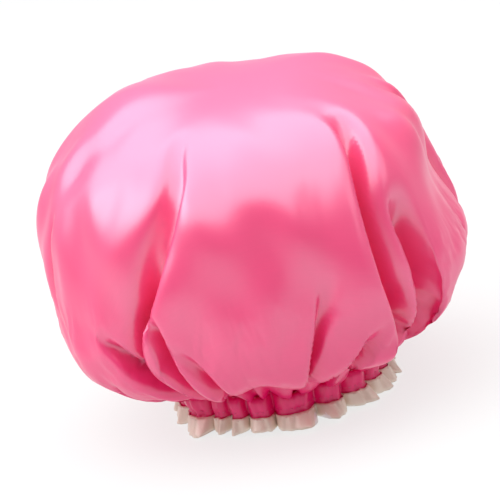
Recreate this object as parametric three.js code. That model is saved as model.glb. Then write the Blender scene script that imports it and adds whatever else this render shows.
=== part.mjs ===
// A bouffant shower cap. A round satin crown is gathered by an elastic band into a short frill.
// A waterproof film lines it, and a contrasting satin strip wraps the raw edges of both.
// Millimetres, +Z up. The hem lies on Z = 0, the head opening is centred on the Z axis and the
// front of the cap faces -Y. Angles are counted from the front towards +X.

import * as THREE from 'three';

// Crown, measured on the outside
const CAP_WIDTH = 220;
const CAP_DEPTH = 208;
const CROWN_HEIGHT = 147; // from the gathering line to the top
const WIDEST_HEIGHT = 62; // from the gathering line to the widest part
const SHOULDER_FULLNESS = 0.75; // 0.55 makes a round shoulder, 1 a square one
const BELLY_FULLNESS = 0.68; // the same, for the puff that overhangs the frill

// Elastic and its tunnel
const ELASTIC_DIAMETER = 98; // relaxed ring, at the middle of the band's thickness
const ELASTIC_WIDTH = 6;
const ELASTIC_THICKNESS = 0.8;
const TUNNEL_WIDTH = 12; // between the two rows of tunnel stitching
const PUCKER_DEPTH = 2.6; // gathers over the elastic
const RIPPLE_DEPTH = 2; // where the gathers run out into the crown
const RIPPLE_START = 0.6; // share of the way from top to gathering line where they begin

// Frill and its binding
const BINDING_WIDTH = 11;
const FRILL_FLARE = 1.5; // how far the hem's inward waves stand outside the tunnel
const FRILL_WAVE_DEPTH = 6.5;
const FRILL_WAVES = 18;
const WAVE_UNEVENNESS = 0.3; // share by which single waves are deeper or shallower
const WAVE_SWELLS = 5; // places round the hem where they are deeper
const WAVE_CROWDING = 0.09; // radians by which waves crowd together or spread
const WAVE_CROWDS = 3; // places round the hem where they crowd

// Cloth and thread
const SATIN_WALL = 0.6;
const FILM_WALL = 0.5;
const BINDING_WALL = 0.6;
const THREAD_DIAMETER = 0.7;
const ROW_INSET = 1.6; // from the tunnel's edges to its two rows of thread
const CLEARANCE = 0.4; // between pieces that touch

// Join of the elastic's ends
const JOIN_GAP = 0.4;
const JOIN_ZIGZAGS = 4;
const JOIN_STITCH_LENGTH = 4;
const JOIN_STEPS_PER_STITCH = 4;
const JOIN_TENSION = 0.3; // how tightly the thread turns at the ends of a stitch

// Smoothness
const CROWN_RINGS = 7;
const POINTS_PER_WAVE = 3;
const THREAD_SIDES = 5;
const ELASTIC_SEGMENTS = 72;

const FOLD_RUN_IN = 0.35; // longest share of the way down over which a fold deepens, and fades again

// Main folds of the crown, by hand. Each is a valley at an angle in degrees, which leans as it
// climbs. It runs from one share of the way from top to gathering line to another, and has a steep
// and a soft side, in degrees. A negative depth is a puff that stands out.
const FOLDS = [
  { angle: -95, lean: 0, from: 0, to: 0.4, depth: -10, left: 45, right: 40 },
  { angle: -85, lean: 0, from: 0.5, to: 1, depth: 3, left: 25, right: 25 },
  { angle: -66, lean: 0, from: 0.5, to: 1.05, depth: -5.5, left: 30, right: 18 },
  { angle: -50, lean: 0, from: 0.72, to: 1.3, depth: 1.5, left: 30, right: 14 },
  { angle: -38, lean: 14, from: 0.45, to: 1.05, depth: 8, left: 9, right: 5 },
  { angle: -5, lean: 0, from: 0.5, to: 1, depth: -5, left: 14, right: 14 },
  { angle: 2, lean: 0, from: 0.62, to: 1.4, depth: 5, left: 45, right: 45 },
  { angle: 8, lean: 6, from: 0.5, to: 1.15, depth: 2, left: 5, right: 6 },
  { angle: 17, lean: 6, from: 0.65, to: 1.15, depth: 3.5, left: 5, right: 5 },
  { angle: 32, lean: 0, from: 0.4, to: 1.25, depth: -8.5, left: 14, right: 8 },
  { angle: 38, lean: -3, from: 0.22, to: 1.15, depth: 16, left: 5, right: 8 },
  { angle: 50, lean: -4, from: 0.45, to: 1.15, depth: 3.5, left: 5, right: 8 },
  { angle: 57, lean: 0, from: 0.5, to: 1.1, depth: -5, left: 10, right: 12 },
  { angle: 80, lean: 0, from: 0.65, to: 1.1, depth: 9, left: 22, right: 30 },
  { angle: 85, lean: 0, from: 0.35, to: 0.7, depth: 10.5, left: 25, right: 30 },
  { angle: 90, lean: 0, from: 0.1, to: 0.5, depth: 6.5, left: 30, right: 30 },
  { angle: 104, lean: -2, from: 0.25, to: 1.15, depth: 5, left: 8, right: 6 },
  { angle: 128, lean: 0, from: 0.05, to: 0.5, depth: -5, left: 30, right: 30 },
  { angle: 128, lean: 0, from: 0.5, to: 1.2, depth: -6, left: 14, right: 14 },
  { angle: 152, lean: -8, from: 0.2, to: 1.15, depth: 5.5, left: 6, right: 9 },
  { angle: 160, lean: 0, from: 0.05, to: 0.5, depth: 2.5, left: 30, right: 30 },
  { angle: 181, lean: 6, from: 0.3, to: 1.15, depth: 2.5, left: 8, right: 6 },
  { angle: 204, lean: 0, from: 0.45, to: 1.2, depth: -6.5, left: 14, right: 14 },
  { angle: 226, lean: -8, from: 0.2, to: 1.15, depth: 5, left: 6, right: 9 },
  { angle: 254, lean: 6, from: 0.35, to: 1.15, depth: 3.5, left: 8, right: 6 },
];

const FULL_TURN = 2 * Math.PI;
const SEGMENTS = FRILL_WAVES * POINTS_PER_WAVE;
const ELASTIC_RADIUS = ELASTIC_DIAMETER / 2;
const TUNNEL_BOTTOM = BINDING_WIDTH;
const TUNNEL_MIDDLE = TUNNEL_BOTTOM + TUNNEL_WIDTH / 2;
const GATHER_HEIGHT = TUNNEL_BOTTOM + TUNNEL_WIDTH;

// Outside of the satin where a gather dips in, at the two rows of tunnel stitching
const TUNNEL_RADIUS = ELASTIC_RADIUS + CLEARANCE / 2 + SATIN_WALL;

// At the middle of the tunnel the layers part just enough to clear the elastic's edges
const EDGE_SHARE = (TUNNEL_WIDTH - ELASTIC_WIDTH) / TUNNEL_WIDTH;
const ELASTIC_ROOM = ELASTIC_THICKNESS / 2 + CLEARANCE;
const SATIN_BULGE = (ELASTIC_ROOM - (1 - EDGE_SHARE) * CLEARANCE / 2) / EDGE_SHARE;
const LINING_AT_ROW = PUCKER_DEPTH * (1 + WAVE_UNEVENNESS) - CLEARANCE / 2;
const LINING_BULGE = (ELASTIC_ROOM + (1 - EDGE_SHARE) * LINING_AT_ROW) / EDGE_SHARE;

// The strip's fold and the cloth's cut edge inside it
const CUT_EDGE_HEIGHT = BINDING_WALL + CLEARANCE;

const degrees = THREE.MathUtils.degToRad;

// Depth of the waves at a turn round the cloth, 0 where they dip in and about 1 where they stand out
function wave(turn) {
  const uneven = 1 + WAVE_UNEVENNESS * Math.sin(WAVE_SWELLS * turn + 1);
  return uneven * (1 - Math.cos(FRILL_WAVES * turn)) / 2;
}

// The angle at which a turn round the cloth ends up: waves crowd in some places and spread in others
function crowd(turn) {
  return turn + WAVE_CROWDING * Math.sin(WAVE_CROWDS * turn);
}

// How far the main folds draw the crown in, at an angle and a share of the way down
function foldDepth(angle, down) {
  let depth = 0;
  for (const fold of FOLDS) {
    const middle = degrees(fold.angle + fold.lean * (1 - down));
    const away = THREE.MathUtils.euclideanModulo(angle - middle + Math.PI, FULL_TURN) - Math.PI;
    const side = degrees(away < 0 ? fold.left : fold.right);
    const runIn = Math.min(FOLD_RUN_IN, (fold.to - fold.from) / 2);
    const start = THREE.MathUtils.smoothstep(down, fold.from, fold.from + runIn);
    const end = 1 - THREE.MathUtils.smoothstep(down, fold.to - runIn, fold.to);
    depth += fold.depth * start * end * Math.exp(-((away / side) ** 2));
  }
  return depth;
}

// The crown's outline from the top to the gathering line
function crownOutline() {
  const halfWidth = CAP_WIDTH / 2;
  const top = GATHER_HEIGHT + CROWN_HEIGHT;
  const widest = GATHER_HEIGHT + WIDEST_HEIGHT;
  const outline = new THREE.CurvePath();
  outline.add(new THREE.CubicBezierCurve(
    new THREE.Vector2(0, top),
    new THREE.Vector2(halfWidth * SHOULDER_FULLNESS, top),
    new THREE.Vector2(halfWidth, THREE.MathUtils.lerp(widest, top, SHOULDER_FULLNESS)),
    new THREE.Vector2(halfWidth, widest),
  ));
  outline.add(new THREE.CubicBezierCurve(
    new THREE.Vector2(halfWidth, widest),
    new THREE.Vector2(halfWidth, THREE.MathUtils.lerp(widest, GATHER_HEIGHT, BELLY_FULLNESS)),
    new THREE.Vector2(THREE.MathUtils.lerp(TUNNEL_RADIUS, halfWidth, BELLY_FULLNESS), GATHER_HEIGHT),
    new THREE.Vector2(TUNNEL_RADIUS, GATHER_HEIGHT),
  ));
  return outline;
}

// A station is one level of the cloth. It holds the satin's outer face at rest, the way out of
// the cloth, the way and distance that folds move it, and the space left between the two layers.
function crownStations() {
  const outline = crownOutline();
  const stations = [];
  for (let ring = 0; ring <= CROWN_RINGS; ring += 1) {
    const down = ring / (CROWN_RINGS + 1);
    const place = outline.getPointAt(down);
    const along = outline.getTangentAt(down);
    const out = new THREE.Vector2(-along.y, along.x);
    const ripple = RIPPLE_DEPTH * THREE.MathUtils.smoothstep(down, RIPPLE_START, 1);
    stations.push({
      place,
      out,
      push: out,
      move: (turn) => ripple * (wave(turn) - 1) - foldDepth(crowd(turn), down),
      gap: () => CLEARANCE,
    });
  }
  return stations;
}

const RADIAL = new THREE.Vector2(1, 0);

function gatherStation() {
  return {
    place: new THREE.Vector2(TUNNEL_RADIUS, GATHER_HEIGHT),
    out: new THREE.Vector2(1, -1),
    push: RADIAL,
    move: (turn) => PUCKER_DEPTH * wave(turn),
    gap: () => CLEARANCE,
  };
}

// Inside the tunnel the satin stands out and the lining stands in, clear of the elastic
function elasticStation() {
  const move = (turn) => PUCKER_DEPTH * wave(turn);
  return {
    place: new THREE.Vector2(ELASTIC_RADIUS + SATIN_BULGE + SATIN_WALL, TUNNEL_MIDDLE),
    out: RADIAL,
    push: RADIAL,
    move,
    gap: (turn) => SATIN_BULGE + move(turn) + LINING_BULGE,
  };
}

// The frill opens evenly from the lower row of tunnel stitching to the hem
function frillStation(height) {
  const opening = 1 - height / TUNNEL_BOTTOM;
  const depth = THREE.MathUtils.lerp(PUCKER_DEPTH, FRILL_WAVE_DEPTH, opening);
  return {
    place: new THREE.Vector2(TUNNEL_RADIUS + FRILL_FLARE * opening, height),
    out: RADIAL,
    push: RADIAL,
    move: (turn) => depth * wave(turn),
    gap: () => CLEARANCE,
  };
}

const CLOTH = [
  ...crownStations(),
  gatherStation(),
  elasticStation(),
  frillStation(TUNNEL_BOTTOM),
  frillStation(CUT_EDGE_HEIGHT),
];

// The crown is shallower from front to back than it is wide, while the opening stays round
function depthScale(radius) {
  const share = THREE.MathUtils.clamp((radius - TUNNEL_RADIUS) / (CAP_WIDTH / 2 - TUNNEL_RADIUS), 0, 1);
  return THREE.MathUtils.lerp(1, CAP_DEPTH / CAP_WIDTH, share);
}

// Turns a section round the Z axis. Each point of it is a function of the turn that gives a radius
// and a height, so the section may wave and fold as it goes round.
function revolve(section) {
  const start = section.map((point) => point(0));
  const geometry = new THREE.LatheGeometry(start, SEGMENTS);
  const position = geometry.getAttribute('position');
  const triangles = geometry.getIndex();
  for (let segment = 0; segment <= SEGMENTS; segment += 1) {
    const turn = FULL_TURN * (segment % SEGMENTS) / SEGMENTS;
    const angle = crowd(turn);
    section.forEach((point, row) => {
      const { x: radius, y: height } = point(turn);
      const across = radius * Math.sin(angle);
      const back = -radius * Math.cos(angle) * depthScale(radius);
      position.setXYZ(segment * section.length + row, across, back, height);
    });
  }

  // Where the section runs down, each four-sided patch is split along its other diagonal, so that
  // the two faces of a sheet crease the same way
  const rows = section.length - 1;
  for (let patch = 0; patch < SEGMENTS * rows; patch += 1) {
    const row = patch % rows;
    if (start[row + 1].y < start[row].y) {
      const near = Math.floor(patch / rows) * section.length + row;
      const far = near + section.length;
      triangles.array.set([near, far, far + 1, near, far + 1, near + 1], 6 * patch);
    }
  }
  return geometry;
}

// A point of the cloth at one station, some depth in from the satin's outer face
function clothPoint(station, depthAt) {
  return (turn) => station.place.clone()
    .addScaledVector(station.out, -depthAt(station, turn))
    .addScaledVector(station.push, station.move(turn));
}

// One layer of cloth: down its inner face from the top to the cut edge and back up its outer face
function clothLayer(outerDepth, innerDepth) {
  const down = CLOTH.map((station) => clothPoint(station, innerDepth));
  const up = CLOTH.map((station) => clothPoint(station, outerDepth)).reverse();
  return revolve([...down, ...up]);
}

function outerShell() {
  return clothLayer(() => 0, () => SATIN_WALL);
}

function lining() {
  const outer = (station, turn) => SATIN_WALL + station.gap(turn);
  const inner = (station, turn) => outer(station, turn) + FILM_WALL;
  return clothLayer(outer, inner);
}

// The strip is a channel folded up over the cut edges of satin and film
function edgeBinding() {
  const inside = SATIN_WALL + CLEARANCE + FILM_WALL;
  const corner = (height, depth) => clothPoint(frillStation(height), () => depth);
  const section = [
    corner(BINDING_WIDTH, inside + CLEARANCE + BINDING_WALL),
    corner(0, inside + CLEARANCE + BINDING_WALL),
    corner(0, -CLEARANCE - BINDING_WALL),
    corner(BINDING_WIDTH, -CLEARANCE - BINDING_WALL),
    corner(BINDING_WIDTH, -CLEARANCE),
    corner(BINDING_WALL, -CLEARANCE),
    corner(BINDING_WALL, inside + CLEARANCE),
    corner(BINDING_WIDTH, inside + CLEARANCE),
  ];
  return revolve([...section, section[0]]);
}

// The band's ends meet at the back, under the wave next to the middle
const JOIN_ANGLE = crowd(Math.PI - Math.PI / FRILL_WAVES);

// A flat band bent into a ring
function elasticBand() {
  const halfJoin = JOIN_GAP / 2 / ELASTIC_RADIUS;
  const start = Math.PI / 2 + halfJoin;
  const end = Math.PI / 2 + FULL_TURN - halfJoin;
  const plan = new THREE.Shape();
  plan.absarc(0, 0, ELASTIC_RADIUS + ELASTIC_THICKNESS / 2, start, end, false);
  plan.absarc(0, 0, ELASTIC_RADIUS - ELASTIC_THICKNESS / 2, end, start, true);
  const band = new THREE.ExtrudeGeometry(plan, {
    depth: ELASTIC_WIDTH,
    bevelEnabled: false,
    curveSegments: ELASTIC_SEGMENTS,
  });
  return band.translate(0, 0, TUNNEL_MIDDLE - ELASTIC_WIDTH / 2).rotateZ(JOIN_ANGLE - Math.PI);
}

// A row of thread lying against a face of the frill or tunnel
function threadRow(facePoint) {
  const radius = THREAD_DIAMETER / 2;
  const section = [];
  for (let side = 0; side <= THREAD_SIDES; side += 1) {
    const around = FULL_TURN * (side % THREAD_SIDES) / THREAD_SIDES;
    const offset = new THREE.Vector2(
      CLEARANCE + radius + radius * Math.cos(around),
      radius * Math.sin(around),
    );
    section.push((turn) => facePoint(turn).add(offset));
  }
  return revolve(section);
}

// The two rows lie just inside the tunnel's upper and lower edges
function tunnelRow(edgeStation) {
  const edge = clothPoint(edgeStation, () => 0);
  const middle = clothPoint(elasticStation(), () => 0);
  const inset = 2 * ROW_INSET / TUNNEL_WIDTH;
  return threadRow((turn) => edge(turn).lerp(middle(turn), inset));
}

// The strip is stitched down along its very edge
function bindingRow() {
  const height = BINDING_WIDTH - THREAD_DIAMETER / 2;
  return threadRow(clothPoint(frillStation(height), () => -CLEARANCE - BINDING_WALL));
}

// A zigzag over the meeting ends of the band, on the side that faces the satin
function elasticJoin() {
  const radius = THREAD_DIAMETER / 2;
  const face = ELASTIC_RADIUS + ELASTIC_THICKNESS / 2 + CLEARANCE + radius;
  const height = ELASTIC_WIDTH - THREAD_DIAMETER;
  const points = [];
  for (let corner = 0; corner <= JOIN_ZIGZAGS; corner += 1) {
    const across = (corner % 2 === 0 ? -1 : 1) * JOIN_STITCH_LENGTH / 2;
    const up = height * (corner / JOIN_ZIGZAGS - 0.5);
    points.push(new THREE.Vector3(across, Math.sqrt(face ** 2 - across ** 2), TUNNEL_MIDDLE + up));
  }
  const section = new THREE.Shape().absarc(0, 0, radius, 0, FULL_TURN, false);
  const zigzag = new THREE.ExtrudeGeometry(section, {
    extrudePath: new THREE.CatmullRomCurve3(points, false, 'catmullrom', JOIN_TENSION),
    steps: JOIN_STEPS_PER_STITCH * JOIN_ZIGZAGS,
    curveSegments: THREAD_SIDES,
  });
  return zigzag.rotateZ(JOIN_ANGLE - Math.PI);
}

function cloth(color, roughness) {
  return new THREE.MeshStandardMaterial({ color, roughness, metalness: 0 });
}

const cap = new THREE.Group();

function add(name, geometry, material) {
  const mesh = new THREE.Mesh(geometry, material);
  mesh.name = name;
  cap.add(mesh);
}

const PINK_THREAD = 0xe0507f;

add('outer_shell', outerShell(), cloth(0xf86d9b, 0.35));
add('lining', lining(), cloth(0xf2ecea, 0.45));
add('elastic_band', elasticBand(), cloth(0xf4f2ee, 0.8));
add('edge_binding', edgeBinding(), cloth(0xd8bfb2, 0.4));
add('tunnel_stitching_upper', tunnelRow(gatherStation()), cloth(PINK_THREAD, 0.6));
add('tunnel_stitching_lower', tunnelRow(frillStation(TUNNEL_BOTTOM)), cloth(PINK_THREAD, 0.6));
add('binding_stitching', bindingRow(), cloth(0xcdb0a2, 0.6));
add('elastic_join_stitching', elasticJoin(), cloth(0xffffff, 0.6));

export default cap;
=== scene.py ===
import math

import bmesh
import bpy
import numpy as np
from bpy.props import FloatProperty, FloatVectorProperty, IntProperty, PointerProperty
from mathutils import Matrix, Vector


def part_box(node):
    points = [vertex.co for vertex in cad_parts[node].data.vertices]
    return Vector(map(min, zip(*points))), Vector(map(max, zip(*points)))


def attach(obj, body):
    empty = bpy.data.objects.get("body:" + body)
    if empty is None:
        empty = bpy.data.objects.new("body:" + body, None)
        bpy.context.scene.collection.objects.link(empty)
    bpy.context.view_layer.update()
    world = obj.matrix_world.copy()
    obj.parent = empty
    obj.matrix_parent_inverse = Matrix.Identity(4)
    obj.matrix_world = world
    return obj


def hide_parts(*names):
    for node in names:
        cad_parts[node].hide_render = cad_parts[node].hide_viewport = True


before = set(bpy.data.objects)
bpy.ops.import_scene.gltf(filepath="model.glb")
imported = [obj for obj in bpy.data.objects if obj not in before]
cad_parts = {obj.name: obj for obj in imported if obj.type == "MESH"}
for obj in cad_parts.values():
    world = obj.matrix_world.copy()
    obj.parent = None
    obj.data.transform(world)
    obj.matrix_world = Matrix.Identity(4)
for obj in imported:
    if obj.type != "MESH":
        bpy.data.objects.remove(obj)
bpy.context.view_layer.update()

bl_info = {
    "name": "Shower Cap",
    "version": (1, 0, 0),
    "blender": (4, 5, 0),
    "location": "View3D > Sidebar > Shower Cap",
    "description": "Makes a lined satin shower cap with a gathered, bound edge",
    "category": "Object",
}

TURN = 2 * math.pi
MM = 0.001

# Knife pleats of the crown. Each has the way its edge takes, as pairs of share of the way from top
# to gathering line and angle in degrees, how far it is folded at such shares, its half width in
# degrees, its depth in millimetres, how wide its mouth gapes and the side that lies on top.
PLEATS = [
    ("left front", [(0.26, -22), (0.325, -19.5), (0.375, -20.2), (0.425, -22.5), (0.5, -26.5),
                    (0.575, -30.5), (0.645, -36.5), (0.69, -38.5), (0.735, -38), (0.8, -33), (0.95, -26)],
     [(0.2, 0), (0.33, 0.3), (0.5, 0.4), (0.66, 1), (0.9, 1), (1, 0)], 13, 24, 0.5, "right"),
    ("right front", [(0.3, 42), (0.34, 39), (0.405, 34.4), (0.475, 31.2), (0.555, 29.5), (0.63, 29.2),
                     (0.72, 32), (0.795, 34.5), (0.95, 32)],
     [(0.27, 0), (0.35, 0.6), (0.48, 1), (0.9, 1), (1, 0)], 14, 28, 0.58, "left"),
    ("right side", [(0.5, 41), (0.575, 41), (0.655, 42.2), (0.72, 43.5), (0.755, 44), (0.815, 45.5),
                    (0.95, 45)],
     [(0.48, 0), (0.58, 0.7), (0.68, 1), (0.9, 1), (1, 0)], 12, 26, 0.95, "left"),
    ("left lobe", [(0.62, -31), (0.655, -28.5), (0.72, -28.5), (0.785, -26), (0.95, -20)],
     [(0.61, 0), (0.66, 0.9), (0.72, 1), (0.9, 1), (1, 0)], 7, 19, 0.85, "right"),
    ("left pocket", [(0.66, -52), (0.7, -48), (0.74, -46), (0.8, -43), (0.95, -36)],
     [(0.66, 0), (0.7, 0.7), (0.77, 1), (0.92, 1), (1, 0)], 7, 18, 0.95, "left"),
    ("left corner", [(0.68, -25), (0.74, -19.5), (0.81, -17), (0.95, -14)],
     [(0.67, 0), (0.75, 0.6), (0.85, 1), (0.93, 1), (1, 0)], 7, 16, 0.8, "right"),
    ("middle", [(0.6, 14), (0.67, 11.5), (0.725, 8.8), (0.755, 7.3), (0.83, 6), (0.95, 2)],
     [(0.59, 0), (0.68, 0.6), (0.8, 1), (0.93, 1), (1, 0)], 8, 14, 0.5, "left"),
    ("right corner", [(0.72, 25), (0.79, 20.5), (0.83, 18.5), (0.95, 15)],
     [(0.71, 0), (0.8, 0.9), (0.93, 1), (1, 0)], 8, 19, 0.9, "left"),
    ("far left", [(0.45, -71), (0.6, -73)],
     [(0.44, 0), (0.5, 1), (0.55, 1), (0.65, 0)], 5, 5, 0.5, "right"),
    ("right flank", [(0.3, 103), (0.6, 106), (0.95, 108)],
     [(0.28, 0), (0.7, 1), (0.9, 1), (1, 0)], 13, 24, 0.5, "right"),
    ("back right", [(0.25, 142), (0.6, 148), (0.95, 150)],
     [(0.25, 0), (0.65, 1), (0.9, 1), (1, 0)], 13, 26, 0.5, "left"),
    ("back", [(0.4, 190), (0.7, 186), (0.95, 184)],
     [(0.38, 0), (0.75, 1), (0.9, 1), (1, 0)], 12, 23, 0.5, "right"),
    ("back left", [(0.25, 217), (0.6, 221), (0.95, 224)],
     [(0.25, 0), (0.65, 1), (0.9, 1), (1, 0)], 13, 26, 0.5, "left"),
    ("left flank", [(0.45, 262), (0.7, 258), (0.95, 256)],
     [(0.42, 0), (0.75, 1), (0.9, 1), (1, 0)], 12, 22, 0.5, "right"),
]

# Shorter pleats that rise from the elastic at the sides and back: angle, the share where each
# begins, its half width in degrees, its depth in millimetres and the side that lies on top
SHORT_PLEATS = [
    (-86, 0.7, 6, 14, "right"), (-62, 0.76, 5, 12, "left"), (60, 0.72, 5, 14, "left"),
    (73, 0.66, 6, 15, "left"), (88, 0.74, 6, 14, "right"), (96, 0.8, 5, 12, "right"),
    (121, 0.64, 6, 15, "left"), (134, 0.76, 5, 12, "right"), (160, 0.6, 7, 16, "left"),
    (171, 0.75, 5, 12, "left"), (199, 0.68, 6, 15, "right"), (209, 0.8, 5, 10, "right"),
    (235, 0.62, 7, 16, "left"), (246, 0.74, 5, 12, "right"), (268, 0.78, 5, 12, "right"),
]
SHORT_LEAN = 5  # degrees by which a short pleat leans away from the side that lies on top
SHORT_RUN_IN = 0.14  # share of the way over which it deepens
PLEATS += [
    (f"short {angle}", [(start, angle + (SHORT_LEAN if upper == "left" else -SHORT_LEAN)), (1, angle)],
     [(start, 0), (start + SHORT_RUN_IN, 1), (0.94, 1), (1, 0)], half, deep, 0.5, upper)
    for angle, start, half, deep, upper in SHORT_PLEATS
]

# Broad puffs and dents of the crown: angle, the shares where each begins and ends, how far it
# stands out in millimetres, and its half widths to the left and right in degrees.
SWELLS = [
    (-95, 0, 0.36, 9, 45, 40), (-85, 0.5, 1, -7, 25, 25), (-66, 0.5, 1.05, 5.5, 30, 18),
    (-50, 0.72, 1.3, -5, 30, 14), (-25, 0.72, 1.3, -4, 30, 16), (-5, 0.5, 1, 4.5, 14, 14),
    (-8, 0.78, 1.05, -13, 7, 7), (30, 0.78, 1.05, -12, 6, 6), (2, 0.62, 1.4, -8, 45, 45),
    (32, 0.4, 1.25, 6.5, 14, 8), (57, 0.5, 1.1, 4, 10, 12), (80, 0.65, 1.1, -21, 22, 30),
    (90, 0.1, 0.5, -6.5, 30, 30), (85, 0.35, 0.7, -13, 25, 30), (128, 0.05, 0.5, 3, 30, 30),
    (128, 0.5, 1.2, 5.5, 14, 14), (160, 0.05, 0.5, -2.5, 30, 30), (200, 0.05, 0.5, 1.5, 30, 30),
    (204, 0.45, 1.2, 5.5, 14, 14),
]
SWELL_RUN_IN = 0.35  # longest share of the way over which a swell rises, and sinks again

# Slight rumples of the satin: depth in millimetres, shares between which they set in, and their waves.
# Waves are given by a seed, their number, and the least and most of them round the cap and down it.
RUMPLES = [
    (1.1, (0.1, 0.5), (4, 14, (5, 15), (-14, 14))),
    (0.8, (0.15, 0.4), (9, 18, (8, 22), (-36, 36))),
    (0.5, (0.25, 0.5), (3, 10, (18, 32), (-10, 10))),
]
TUNNEL_RUMPLE = (0.5, (0.93, 0.99), (15, 10, (36, 70), (-40, 40)))
STRIP_RUMPLE = (0.4, (12, 16, (30, 90), (-60, 60)))
FILM_RIPPLE = (4.5, (21, 6, (24, 40), (-10, 10)))

# Angles where the gathers dip in, round the elastic and the frill
DIPS = [-86, -72, -47, -36, -25, -9, 15, 32, 50, 65, 79, 95, 108, 125, 139, 157, 170, 187,
        203, 216, 233, 246, 261]
SOFT_CREST = 3  # how square the gathers are over the elastic
HEM_CREST = 5  # and at the hem
GATHER_SEED = 7
GATHER_STRENGTH = (0.6, 1.25)  # height of the narrowest and of the widest gathers
UNEVEN = 0.6  # how much single gathers differ in lean and lift
LAP = 0.1  # share of its width by which a gather laps over its neighbour
TAB_LIFT = 0.005  # how far the hem can lift between its lowest and highest tabs
TAB_LOWEST = 0.25  # lift at which a tab hangs at its full length
CUT_EDGE_HEIGHT = 0.001  # the cloth's cut edges, in the fold of the strip

# Shares of the way from top to gathering line between which the cloth changes
PLEATS_STAND = (0.6, 0.8)  # below, pleats keep their depth although the crown gets narrower
PUFFS_FADE = (0.88, 1.0)  # puffs and rumples flatten towards the elastic
GATHERS_RISE = (0.78, 1.0)  # gathers deepen towards the elastic
GATHERS_PART = (0.85, 1.0)  # above, gathers reach as far in as out
PAINTED_SHADE_LOWER = (0.5, 0.9)  # painted shade sets in over the lower crown, for fine folds not modelled
PAINTED_SHADE_TUNNEL = (0.95, 1.0)  # and grows over the elastic, in the shadow of the overhanging puffs
PAINTED_SHADE_LOWER_SHARE = 0.6  # part of the painted shade that the lower crown has already

# How the satin behaves while it settles: a thin cloth that bends easily, whose lower part is cut a
# little fuller than the shape it starts from
SETTLING_STEPS = 24
CLOTH = {
    "quality": 4, "mass": 0.02, "air_damping": 1, "tension_stiffness": 10, "compression_stiffness": 10,
    "shear_stiffness": 4, "bending_stiffness": 0.05, "tension_damping": 3, "compression_damping": 3,
    "shear_damping": 3, "bending_damping": 0.5, "shrink_min": -0.045, "shrink_max": 0,
}

# Settling holds the top, lets the crown go between these shares and holds it again at the elastic
LET_GO = (0.4, 0.7)
LOOSEST = 0.95  # share of the hold that is given up
HELD_AGAIN = (0.975, 1.0)
FULLER_FROM = (0.5, 0.8)  # over which the fuller cut sets in
FULLER_TO = (0.86, 1.0)  # and over which it ends

# How the film hangs inside the satin, in metres
FILM_CLEARANCE = 0.0012
FILM_BOUND = 0.0008  # inside the satin's face where both are bound into the strip
FILM_IN_TUNNEL = 0.0022  # inside the satin's line, clear of the elastic
FILM_GRID = (90, 240)  # rows and columns of the grid that finds its room
FILM_LOOSE = ((0.15, 0.4), (0.85, 0.95))  # shares between which its ripples rise and fade
FILM_DRAWN_IN = (0.9, 1.0)  # shares over which it is drawn in to the elastic
FILM_FOLLOWS = 0.0008  # how far it follows the gathers there
FILM_BOUND_RUN = 0.02  # share of the way over which it joins the satin below the tunnel

# Points of the sheets: rows in crown, tunnel and frill, columns round the cap
TUNNEL_ROWS = 8
FRILL_ROWS = 6
FILM_ROWS = (60, 7, 5)
FILM_COLUMNS = 240
STRIP_ROWS = 8
ELASTIC_COLUMNS = 180
FRONT_CROWDING = 0.4  # how much closer the columns stand in front than behind
MERGE_DISTANCE = 1e-6

# Strip and stitches, in metres
STRIP_FOLD = 0.0012  # radius of the fold over the cut edges
STRIP_MIDDLE = -0.0006  # middle of the layers in it, from the satin's face
ROW_STEPS = 4001  # points at which the way of a row is worked out
STITCH_PITCH = 0.003
STITCH_ENDS = (0.14, 0.86)  # where the thread comes out of the cloth and goes in again, in a pitch
THREAD_RADIUS = 0.00025
ROW_INSET = 0.0016  # from the tunnel's edges to its rows of thread
BINDING_ROW_INSET = 0.0012  # from the strip's upper edge to its row
BINDING_ROW_LIFT = 0.0009
JOIN_STITCHES = 9
JOIN_THREAD_RADIUS = 0.0002
JOIN_SIDES = (0.8, 0.2)  # where the zigzag turns, in the width of its solid

# Stage, in metres, watts and degrees: name, size, power and place of each light, and whether it is
# aimed at the cap or faces straight down
SOFTBOXES = [
    ("overhead_softbox", (2.6, 2.2), 41, (-0.5, -0.15, 0.95), False),
    ("left_softbox", (1, 1), 4, (-1.1, -0.3, 0.9), True),
    ("right_softbox", (1, 1), 4, (1.2, -0.35, 0.8), True),
]
FLOOR_RADIUS = 8
FLOOR_HEIGHT = -0.0005
CAMERA_TARGET = (-0.0033, 0, 0.0806)
CAMERA_DISTANCE = 3.563
CAMERA_PITCH = 20
CAMERA_ROLL = -12
LENS = 500
SENSOR = 36

# Section of a knife pleat whose left side lies on top: place across in the cloth, place across and
# depth when folded, as shares of its half width and of its depth. The far wall is moved out by the
# width of the mouth.
PLEAT_NEAR = [
    (-1, -1, 0), (-0.75, -0.7, -0.03), (-0.5, -0.36, -0.09), (-0.3, -0.02, -0.12),
    (-0.17, 0.17, -0.07), (-0.11, 0.215, 0.04), (0, 0.16, 0.28), (0.12, 0, 0.64), (0.24, -0.13, 0.92),
]
PLEAT_FAR = [
    (0.34, -0.35, 1), (0.46, -0.22, 0.96), (0.57, -0.1, 0.76), (0.67, -0.03, 0.44), (0.76, 0.04, 0.18),
    (0.88, 0.26, 0.04),
]
PLEAT_SHIFT = 0.2  # share of its half width by which a pleat's middle lies off its edge
EDGE_ROUNDING = 0.05  # softens the corners of pleats, as shares of their half width or of the way down
LEVEL_ROUNDING = 0.03


def linear(code):
    """Turns an sRGB hex value into linear red, green, blue and alpha."""
    parts = [int(code[i:i + 2], 16) / 255 for i in (1, 3, 5)]
    return [p / 12.92 if p <= 0.04045 else ((p + 0.055) / 1.055) ** 2.4 for p in parts] + [1.0]


def ease(value, start, end):
    """Rises smoothly from 0 at the start to 1 at the end."""
    share = np.clip((value - start) / (end - start), 0, 1)
    return share * share * (3 - 2 * share)


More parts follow.
